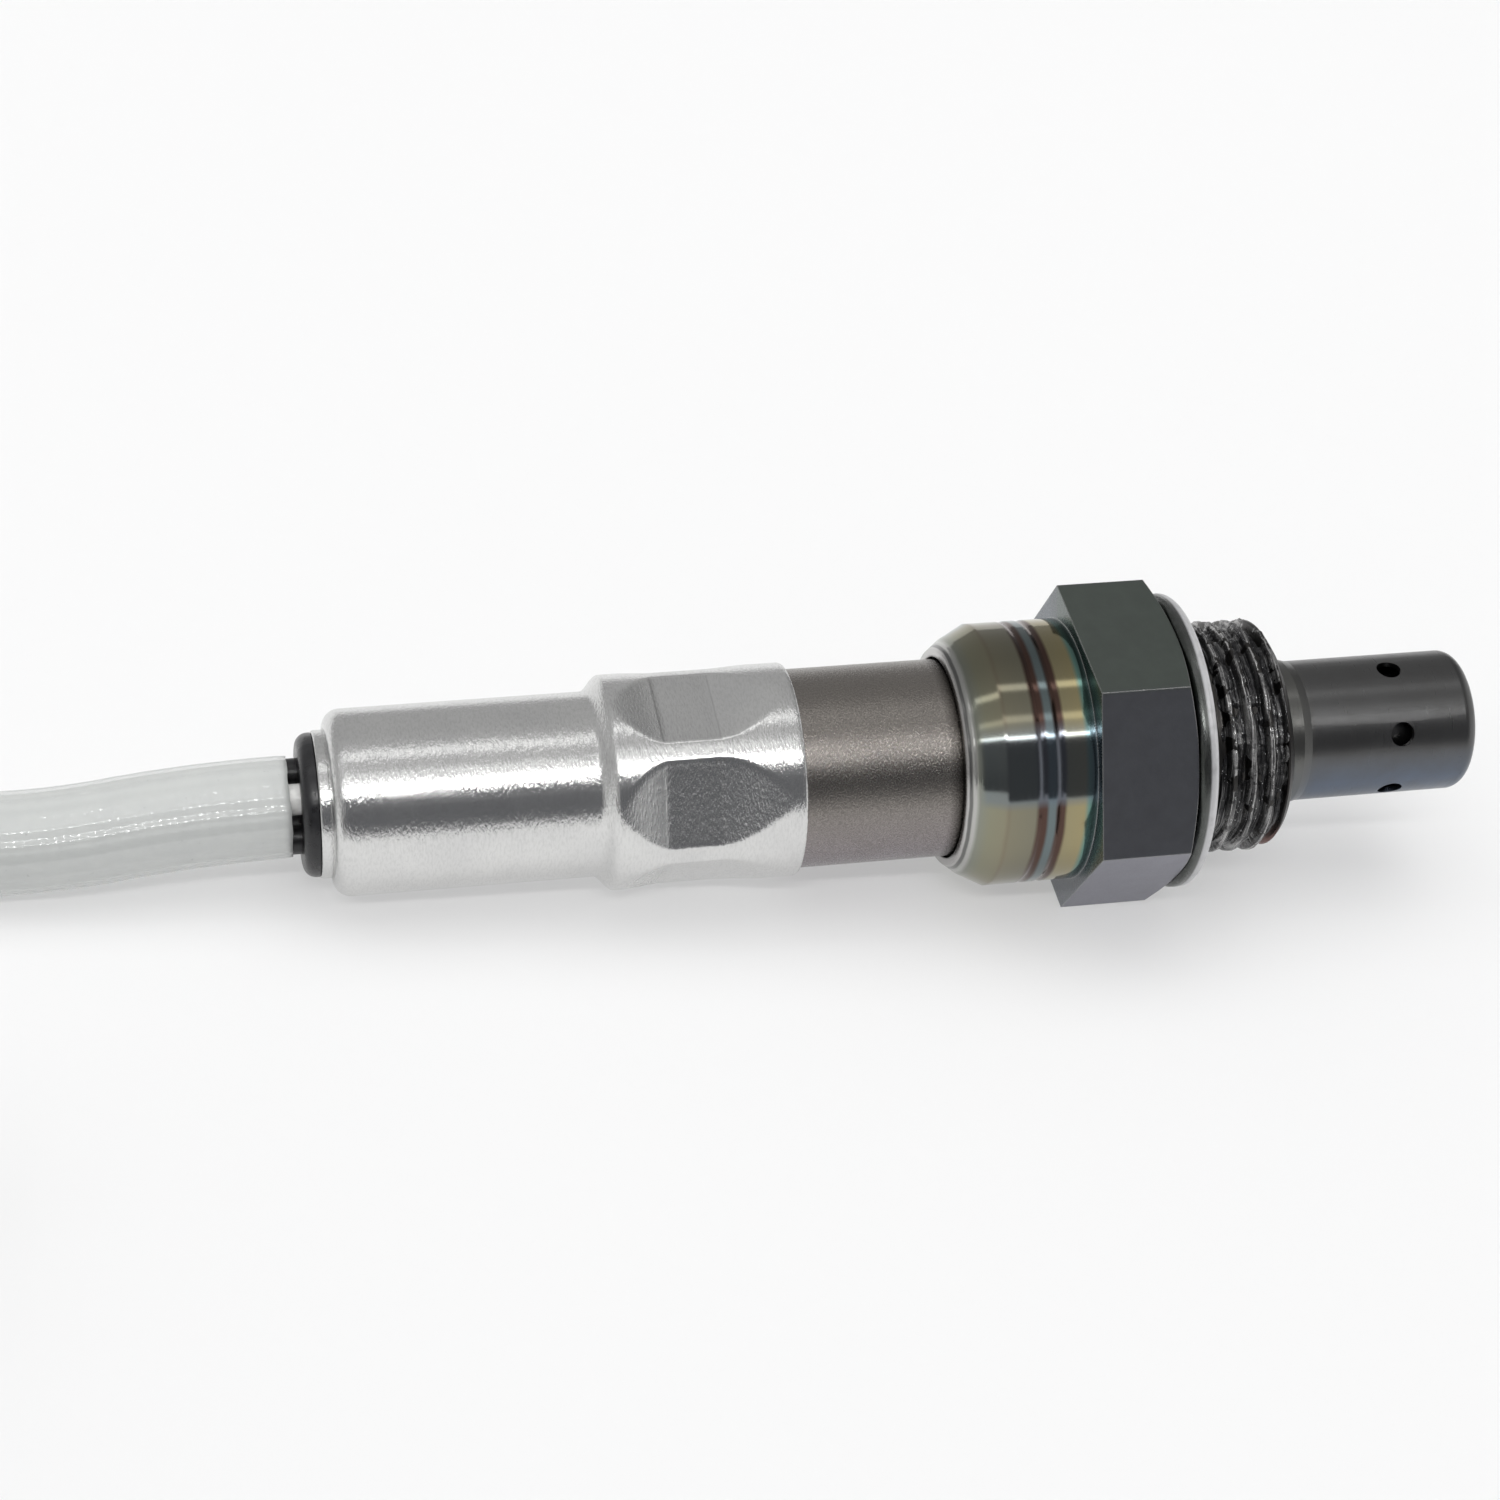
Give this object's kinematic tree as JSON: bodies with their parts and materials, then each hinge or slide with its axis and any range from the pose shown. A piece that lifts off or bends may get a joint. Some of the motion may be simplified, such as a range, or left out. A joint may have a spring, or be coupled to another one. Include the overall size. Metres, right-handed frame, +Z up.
{
  "type": "oxygen sensor",
  "caption": "Screw-in exhaust oxygen sensor with hexagon shell, crimped tail sleeve, perforated tip, short sleeved lead and square plug.",
  "frame": {"origin": "on the surface that the sensor lies on, under the middle of the length of the sensor without its lead, which is also where the sensor's axis passes overhead", "axes": "+X towards the sensing tip along the sensor's length, +Z up; the sensor's axis rises 4.2 degrees towards the tip, because it lies on a flat of the hexagon and on the tail shoulder"},
  "size_m": [0.2274, 0.073, 0.023],
  "materials": {
    "shell_steel": "dark heat-tinted steel",
    "gasket_steel": "satin",
    "protector_steel": "dark satin",
    "tube_steel": "brown heat tint, satin",
    "sleeve_steel": "bright satin",
    "contact_metal": "satin",
    "dark_ceramic": "matt",
    "white_ceramic": "matt",
    "talc": "pressed powder, matt",
    "black_rubber": "satin",
    "seal_rubber": "satin",
    "black_insulation": "satin",
    "white_insulation": "satin",
    "grey_insulation": "satin",
    "woven_sleeve": "coated glass-fibre weave",
    "plug_plastic": "moulded, fine grain",
    "lock_plastic": "moulded"
  },
  "bodies": {
    "root": {"metal_shell": "shell_steel", "gasket": "gasket_steel", "outer_protector": "protector_steel", "inner_protector": "protector_steel", "sensor_element": "dark_ceramic", "metal_cup": "protector_steel", "ceramic_holder": "white_ceramic", "talc_seal": "talc", "ceramic_guide": "white_ceramic", "guide_packing": "gasket_steel", "crimp_packing": "gasket_steel", "inner_tube": "tube_steel", "outer_sleeve": "sleeve_steel", "front_separator": "white_ceramic", "rear_separator": "white_ceramic", "separator_clip": "gasket_steel", "grommet": "black_rubber", "contact_1": "contact_metal", "contact_2": "contact_metal", "contact_3": "contact_metal", "contact_4": "contact_metal", "lead_wire_black_upper": "black_insulation", "lead_wire_white": "white_insulation", "lead_wire_black_lower": "black_insulation", "lead_wire_grey": "grey_insulation", "cable_sleeve": "woven_sleeve", "plug_cap": "plug_plastic", "plug_wire_seal": "seal_rubber", "plug_housing": "plug_plastic", "plug_seal": "seal_rubber", "plug_lock": "lock_plastic", "plug_contacts": "contact_metal", "plug_wires": "black_insulation"}
  },
  "joints": []
}
